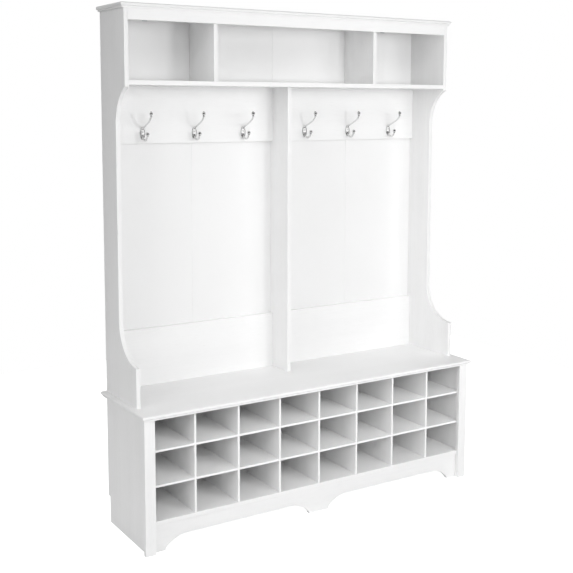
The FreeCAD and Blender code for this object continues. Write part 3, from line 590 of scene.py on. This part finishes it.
def finial(knob, collar_drop, cap_height):
    """Profile of a knob from its stem up: collar, waist, ball (r = R sin a, z = -R cos a) and a flat cap."""
    out, centre = knob
    ball_turn = np.linspace(BALL_BELOW, math.pi - BALL_ABOVE, BALL_STEPS)
    bead_turn = np.linspace(-math.pi / 2, math.pi / 2, BEAD_STEPS)
    collar_radii = COLLAR_RADIUS + BEAD_RADIUS * np.cos(bead_turn)
    collar_heights = -collar_drop + BEAD_RADIUS * np.sin(bead_turn)
    ball_radii = KNOB_RADIUS * np.sin(ball_turn)
    ball_heights = -KNOB_RADIUS * np.cos(ball_turn)
    stem_heights = -collar_drop - np.array(STEM_DEPTHS)
    cap_heights = cap_height - np.array(CAP_DROPS)
    radii = np.concatenate([STEM_RADII, collar_radii, [WAIST_RADIUS], ball_radii, CAP_RADII])
    heights = np.concatenate([stem_heights, collar_heights, [-collar_drop + WAIST_RISE], ball_heights,
                              cap_heights])
    return turned_rings(out, centre + heights, radii)


def hook_stacks():
    """One hook's shells, with the middle of its plate's back at the origin, y outwards and z up.

    The tall arm follows a cubic Bezier curve. The short one is a half circle, out = c - R cos a and rise =
    -R sin a. Both flare at the root: r = r0 (1 + f exp(-s / k)), and the short one is a little stouter.
    """
    share = np.linspace(0, 1, TALL_STEPS)
    weights = np.stack([(1 - share) ** 3, 3 * share * (1 - share) ** 2,
                        3 * share ** 2 * (1 - share), share ** 3])
    tall_out, tall_rise = TALL_BEND.T @ weights
    tall_radius = ARM_RADIUS * (1 + TALL_FLARE[0] * np.exp(-share / TALL_FLARE[1]))
    half_turn = np.linspace(0, math.pi, SHORT_STEPS)
    bowl = (SHORT_KNOB[0] - SHORT_ROOT[0]) / 2
    short_out = SHORT_ROOT[0] + bowl * (1 - np.cos(half_turn))
    short_rise = SHORT_ROOT[1] - bowl * np.sin(half_turn)
    short_radius = ARM_RADIUS * (SHORT_STOUTER + SHORT_FLARE[0] * np.exp(-half_turn / SHORT_FLARE[1]))
    return [plate_rings(SCREW_RISES), arm_rings(tall_out, tall_rise, tall_radius),
            arm_rings(short_out, short_rise, short_radius),
            finial(TALL_KNOB, TALL_COLLAR, TALL_CAP), finial(SHORT_KNOB, SHORT_COLLAR, SHORT_CAP)]


def plate_middle(node):
    """The middle of the back of a hook's plate. The hook's top is HOOK_TOP above the tall knob's centre."""
    low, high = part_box(node)
    return np.array([(low.x + high.x) / 2, high.y, high.z - TALL_KNOB[1] - HOOK_TOP])


def polished_plate(name, smudge, tone):
    """Chrome: bright, with faint wiping marks in its gloss and dull bloom in patches."""
    material = bpy.data.materials.new(name)
    material.use_nodes = True
    tree = material.node_tree
    shader = tree.nodes["Principled BSDF"]
    shader.inputs["Metallic"].default_value = 1.0
    place = add_node(tree, "TexCoord").outputs["Object"]
    wiping = add_node(tree, "TexNoise", [("Vector", place)], Scale=260, Detail=5, Roughness=0.6,
                      Distortion=0.8)
    bloom = add_node(tree, "TexNoise", [("Vector", place)], Scale=70, Detail=3)
    smudged = math_node(tree, "MULTIPLY", wiping.outputs["Fac"], bloom.outputs["Fac"])
    gloss = add_node(tree, "MapRange", [("Value", smudged)], From_Min=0.12, From_Max=0.42,
                     To_Min=MIRROR_ROUGHNESS, To_Max=MIRROR_ROUGHNESS + smudge)
    metal = add_node(tree, "MapRange", [("Value", bloom.outputs["Fac"])], From_Min=0.3, From_Max=0.7,
                     To_Min=tone, To_Max=tone - BLOOM_DARKNESS)
    cast = add_node(tree, "Bump", [("Height", bloom.outputs["Fac"])], Strength=0.2, Distance=0.00008)
    tree.links.new(metal.outputs[0], shader.inputs["Base Color"])
    tree.links.new(gloss.outputs[0], shader.inputs["Roughness"])
    tree.links.new(cast.outputs["Normal"], shader.inputs["Normal"])
    return material


hook_chrome = polished_plate("hook_chrome", smudge=0.08, tone=0.78)
one_hook = hook_stacks()
for number in range(1, HOOK_COUNT + 1):
    node = "coat_hook_%d" % number
    placed = [plate_middle(node) + stack * (1, -1, 1) for stack in one_hook]
    hook = piece_from_stacks("cast_hook_%d" % number, placed, smooth_degrees=50, flat_ends=False)
    hook.data.materials.append(hook_chrome)
    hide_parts(node)
    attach(hook, "root")

# ---- Hook screws --------------------------------------------------------------------------------------
# Two countersunk cross-recess wood screws through each plate, plated to match the hooks. Each one stopped
# at its own angle when it was driven home.
HEAD_RADIUS = 0.0034
HEAD_PROUD = 0.0001
HEAD_DOME = 0.0002
HEAD_RIM = (0.0002, 0.00035)
CONE_DEPTH = 0.0019
HEAD_STEPS = 24
HEAD_MIDDLE = 0.00006
RECESS_HALF_WIDTH = 0.00055
RECESS_REACH = 0.0022
RECESS_DEPTH = 0.0011
RECESS_SIDE_SLOPE = 0.0002
RECESS_END_SLOPE = 0.0006
SHANK_RADIUS = 0.0017
SHANK_TOP = 0.0030
SCREW_LENGTH = 0.0148
POINT_LENGTH = 0.003
POINT_BLUNT = 0.08
THREAD_PITCH = 0.0011
THREAD_DEPTH = 0.18
THREAD_STEPS = 60
SCREW_ROUND = 64
# Added to the recess's angle from hook to hook, and from one row of screws to the next.
DRIVEN_TURNS = (0.9, 1.7)


def screw_rings(angle):
    """A screw about y, its head at y = 0 and its point towards +y.

    The shank's radius goes up and down with the thread. The head's top is a shallow dome, and two crossed
    bars are sunk in it: their depth falls from the middle to their ends and over their sides.
    """
    turn = np.linspace(0, 2 * math.pi, SCREW_ROUND, endpoint=False)
    depth = np.linspace(SCREW_LENGTH, SHANK_TOP, THREAD_STEPS)
    taper = np.clip((SCREW_LENGTH - depth) / POINT_LENGTH, POINT_BLUNT, 1)
    thread = 1 - THREAD_DEPTH + THREAD_DEPTH * np.cos(2 * math.pi * depth / THREAD_PITCH)
    shank = np.stack([SHANK_RADIUS * taper * thread, depth], axis=1)
    cone = [[SHANK_RADIUS, CONE_DEPTH], [HEAD_RADIUS, HEAD_RIM[1]], [HEAD_RADIUS, HEAD_RIM[0]]]
    side = np.concatenate([shank, cone])
    top = np.linspace(HEAD_RADIUS - HEAD_PROUD, HEAD_MIDDLE, HEAD_STEPS)
    radius = np.concatenate([side[:, 0], top])
    level = np.concatenate([side[:, 1], np.zeros(len(top))])
    across = radius[:, None] * np.cos(turn)
    up = radius[:, None] * np.sin(turn)
    bar_u = np.abs(across * math.cos(angle) + up * math.sin(angle))
    bar_v = np.abs(up * math.cos(angle) - across * math.sin(angle))
    inside = RECESS_HALF_WIDTH + RECESS_SIDE_SLOPE / 2 - np.minimum(bar_u, bar_v)
    sides = np.clip(inside / RECESS_SIDE_SLOPE, 0, 1)
    ends = np.clip((RECESS_REACH - np.hypot(across, up)) / RECESS_END_SLOPE, 0, 1)
    dome = HEAD_DOME * (radius[:, None] / HEAD_RADIUS) ** 2
    on_top = np.arange(len(radius))[:, None] >= len(side)
    inwards = level[:, None] + np.where(on_top, dome + RECESS_DEPTH * sides * ends, 0)
    return np.stack([across, inwards, up], axis=-1)


screw_stacks = []
for number in range(1, HOOK_COUNT + 1):
    for row, rise in enumerate(SCREW_RISES):
        head = plate_middle("coat_hook_%d" % number) + (0, -PLATE_DISH - HEAD_PROUD, rise)
        angle = DRIVEN_TURNS[0] * number + DRIVEN_TURNS[1] * row
        screw_stacks.append(head + screw_rings(angle))
hook_screws = piece_from_stacks("cross_head_screws", screw_stacks, smooth_degrees=35, flat_ends=False)
hook_screws.data.materials.append(polished_plate("screw_chrome", smudge=0.20, tone=0.80))
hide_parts("hook_screws")
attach(hook_screws, "root")


# ---- Knock-down fittings, nails and brackets ----------------------------------------------------------
# Cam locks, their bolts, screws, nails and two wall brackets, all of zinc-plated steel. They sit in drilled
# holes or behind the panels. The plating is slightly blue, with a crystalline mottle.
def zinc_plated():
    """Zinc plating: small crystals times larger patches, in tone and height, and patches in its gloss."""
    material = bpy.data.materials.new("zinc_plated_steel")
    material.use_nodes = True
    tree = material.node_tree
    shader = tree.nodes["Principled BSDF"]
    shader.inputs["Metallic"].default_value = 1.0
    place = add_node(tree, "TexCoord").outputs["Object"]
    crystals = add_node(tree, "TexVoronoi", [("Vector", place)], Scale=700)
    patches = add_node(tree, "TexNoise", [("Vector", place)], Scale=120, Detail=4)
    mottle = math_node(tree, "MULTIPLY", crystals.outputs["Distance"], patches.outputs["Fac"])
    ramp = add_node(tree, "ValToRGB", [("Fac", mottle)])
    ramp.color_ramp.elements[0].color = (0.50, 0.53, 0.57, 1)
    ramp.color_ramp.elements[1].color = (0.68, 0.69, 0.70, 1)
    ramp.color_ramp.elements[1].position = 0.5
    rough = add_node(tree, "MapRange", [("Value", patches.outputs["Fac"])], To_Min=0.25, To_Max=0.50)
    bump = add_node(tree, "Bump", [("Height", mottle)], Strength=0.3, Distance=0.00005)
    tree.links.new(ramp.outputs["Color"], shader.inputs["Base Color"])
    tree.links.new(rough.outputs[0], shader.inputs["Roughness"])
    tree.links.new(bump.outputs["Normal"], shader.inputs["Normal"])
    return material


finish_nodes(zinc_plated(), "cam_", "divider_screws", "panel_nails", "wall_brackets", "bracket_screws")


# ---- Dowels -------------------------------------------------------------------------------------------
# Short round beech pegs, glued into holes in one board and pushed into the next to line them up. The wood
# is pale and pinkish, with fine dark flecks, and is left unfinished.
def beech():
    """Bare beech: a fine grain times small flecks, from dark to pale, with the same pattern in height."""
    material = bpy.data.materials.new("beech")
    material.use_nodes = True
    tree = material.node_tree
    shader = tree.nodes["Principled BSDF"]
    place = add_node(tree, "TexCoord").outputs["Object"]
    grain = add_node(tree, "TexNoise", [("Vector", place)], Scale=300, Detail=5, Distortion=0.6)
    flecks = add_node(tree, "TexVoronoi", [("Vector", place)], Scale=1400)
    wood = math_node(tree, "MULTIPLY", grain.outputs["Fac"], flecks.outputs["Distance"])
    ramp = add_node(tree, "ValToRGB", [("Fac", wood)])
    ramp.color_ramp.elements[0].color = (0.45, 0.27, 0.15, 1)
    ramp.color_ramp.elements[1].color = (0.66, 0.46, 0.29, 1)
    ramp.color_ramp.elements[1].position = 0.35
    rough = add_node(tree, "MapRange", [("Value", grain.outputs["Fac"])], To_Min=0.55, To_Max=0.75)
    bump = add_node(tree, "Bump", [("Height", wood)], Strength=0.4, Distance=0.0001)
    tree.links.new(ramp.outputs["Color"], shader.inputs["Base Color"])
    tree.links.new(rough.outputs[0], shader.inputs["Roughness"])
    tree.links.new(bump.outputs["Normal"], shader.inputs["Normal"])
    return material


finish_nodes(beech(), "wood_dowels")

# ---- Studio -------------------------------------------------------------------------------------------
# A white floor, and soft light from the front, from both sides and from the rear. To the camera alone the
# floor and the surroundings are pure white, so the floor's edges don't show.
FLOOR_SIZE = 5
FLOOR_WHITE = 0.8
FLOOR_GLOW = 1.0
HEIGHT_BLUR = 0.06
BEARING_BLUR = 8
# Strength, then the heights and the bearings between which it shines, as window() takes them.
WINDOWS = [(0.31, 0.7, 2.0, None, None), (1.72, 0.3, 0.7, -60, 0), (0.54, 0.0, 0.7, -130, -60),
           (0.75, 0.0, 0.8, 105, 200), (0.75, 0.0, 0.8, -200, -150)]
DARK_ROOM = 0.02
MIRRORED_SOFTBOX = (1.3, -0.20, 0.30, 18, 48)
# Name, place, side and power in watts.
SOFTBOXES = [("key_softbox", (0.6, -2.5, 1.65), 0.5, 19), ("right_softbox", (1.7, -2.7, 1.8), 1.0, 17),
             ("front_softbox", (-0.5, -3.0, 1.8), 1.2, 28), ("left_softbox", (-3.2, -1.0, 1.7), 1.4, 23),
             ("rear_softbox", (1.8, 3.0, 2.1), 1.0, 30)]

bpy.ops.mesh.primitive_plane_add(size=FLOOR_SIZE, location=(0, 0, cad_box[0].z))
floor = bpy.context.object
floor.name = "studio_floor"
floor_paint = bpy.data.materials.new("floor_paint")
floor_paint.use_nodes = True
floor_tree = floor_paint.node_tree
floor_shader = floor_tree.nodes["Principled BSDF"]
floor_shader.inputs["Base Color"].default_value = (FLOOR_WHITE, FLOOR_WHITE, FLOOR_WHITE, 1)
floor_shader.inputs["Roughness"].default_value = 0.9
floor_shader.inputs["Emission Color"].default_value = (1, 1, 1, 1)
floor_path = add_node(floor_tree, "LightPath")
floor_glow = math_node(floor_tree, "MULTIPLY", floor_path.outputs["Is Camera Ray"], FLOOR_GLOW)
floor_tree.links.new(floor_glow, floor_shader.inputs["Emission Strength"])
floor.data.materials.append(floor_paint)

world = bpy.data.worlds.new("studio")
bpy.context.scene.world = world
world.use_nodes = True
sky = world.node_tree
toward = add_node(sky, "TexCoord").outputs["Generated"]
toward_x, toward_y, toward_z = add_node(sky, "SeparateXYZ", [(0, toward)]).outputs
bearing = math_node(sky, "ARCTAN2", toward_x, math_node(sky, "MULTIPLY", toward_y, -1.0))


def soft_step(value, start, end):
    """0 before start and 1 after end, on an S-curve between them; start may be the larger."""
    step = add_node(sky, "MapRange", [("Value", value)], interpolation_type="SMOOTHSTEP", From_Min=start,
                    From_Max=end)
    return step.outputs[0]


def window(low, high, from_bearing, to_bearing):
    """A soft-edged patch of the surroundings, as a mask that is the product of one S-curve for each side.

    Heights are sines of the angle above the horizon. Bearings are degrees from the front, with the object's
    right positive, and None leaves the patch running right round.
    """
    sides = [(toward_z, low - HEIGHT_BLUR, low + HEIGHT_BLUR),
             (toward_z, high + HEIGHT_BLUR, high - HEIGHT_BLUR)]
    if from_bearing is not None:
        start = math.radians(from_bearing)
        end = math.radians(to_bearing)
        blur = math.radians(BEARING_BLUR)
        sides += [(bearing, start - blur, start + blur), (bearing, end + blur, end - blur)]
    mask = soft_step(*sides[0])
    for side in sides[1:]:
        mask = math_node(sky, "MULTIPLY", mask, soft_step(*side))
    return mask


light_level = 0.0
for strength, *place in WINDOWS:
    light_level = math_node(sky, "ADD", light_level, math_node(sky, "MULTIPLY", window(*place), strength))

# Chrome and sheen mirror a dark room instead, with one softbox in it, to the right of the camera.
mirrored_strength, *mirrored_place = MIRRORED_SOFTBOX
mirrored = math_node(sky, "MULTIPLY", window(*mirrored_place), mirrored_strength)
room = math_node(sky, "ADD", DARK_ROOM, mirrored)
sky_path = add_node(sky, "LightPath")
diffuse_or_room = add_node(sky, "Mix", [("Factor", sky_path.outputs["Is Glossy Ray"])])
sky.links.new(light_level, diffuse_or_room.inputs["A"])
sky.links.new(room, diffuse_or_room.inputs["B"])
all_rays = add_node(sky, "Mix", [("Factor", sky_path.outputs["Is Camera Ray"])])
sky.links.new(diffuse_or_room.outputs["Result"], all_rays.inputs["A"])
all_rays.inputs["B"].default_value = 1.0
background = sky.nodes["Background"]
background.inputs["Color"].default_value = (1, 1, 1, 1)
sky.links.new(all_rays.outputs["Result"], background.inputs["Strength"])


object_middle = (cad_box[0] + cad_box[1]) / 2


def softbox(name, place, size, power):
    """A square lamp turned towards the middle of the object, and left out of reflections."""
    light = bpy.data.lights.new(name, "AREA")
    light.shape = "SQUARE"
    light.size = size
    light.energy = power
    lamp = bpy.data.objects.new(name, light)
    lamp.visible_glossy = False
    lamp.location = place
    lamp.rotation_euler = (object_middle - lamp.location).to_track_quat("-Z", "Y").to_euler()
    bpy.context.scene.collection.objects.link(lamp)


for lamp_values in SOFTBOXES:
    softbox(*lamp_values)

# ---- Camera -------------------------------------------------------------------------------------------
# It stands to the left of the object and looks slightly down on its front. The lens is shifted down as
# well, so that the camera needs less tilt and the uprights stay nearly parallel.
CAMERA_PLACE = (-2.1388, -3.3150, 1.5931)
CAMERA_TURN = (math.pi / 2 - 0.1113, -0.0019, -0.5619)
CAMERA_LENS = 62.894
CAMERA_SHIFT = -0.12
SENSOR_WIDTH = 36

camera_data = bpy.data.cameras.new("camera")
camera = bpy.data.objects.new("camera", camera_data)
bpy.context.scene.collection.objects.link(camera)
bpy.context.scene.camera = camera
camera_data.sensor_width = SENSOR_WIDTH
camera_data.lens = CAMERA_LENS
camera_data.shift_y = CAMERA_SHIFT
camera.location = CAMERA_PLACE
camera.rotation_euler = CAMERA_TURN
bpy.context.scene.view_settings.view_transform = "Standard"
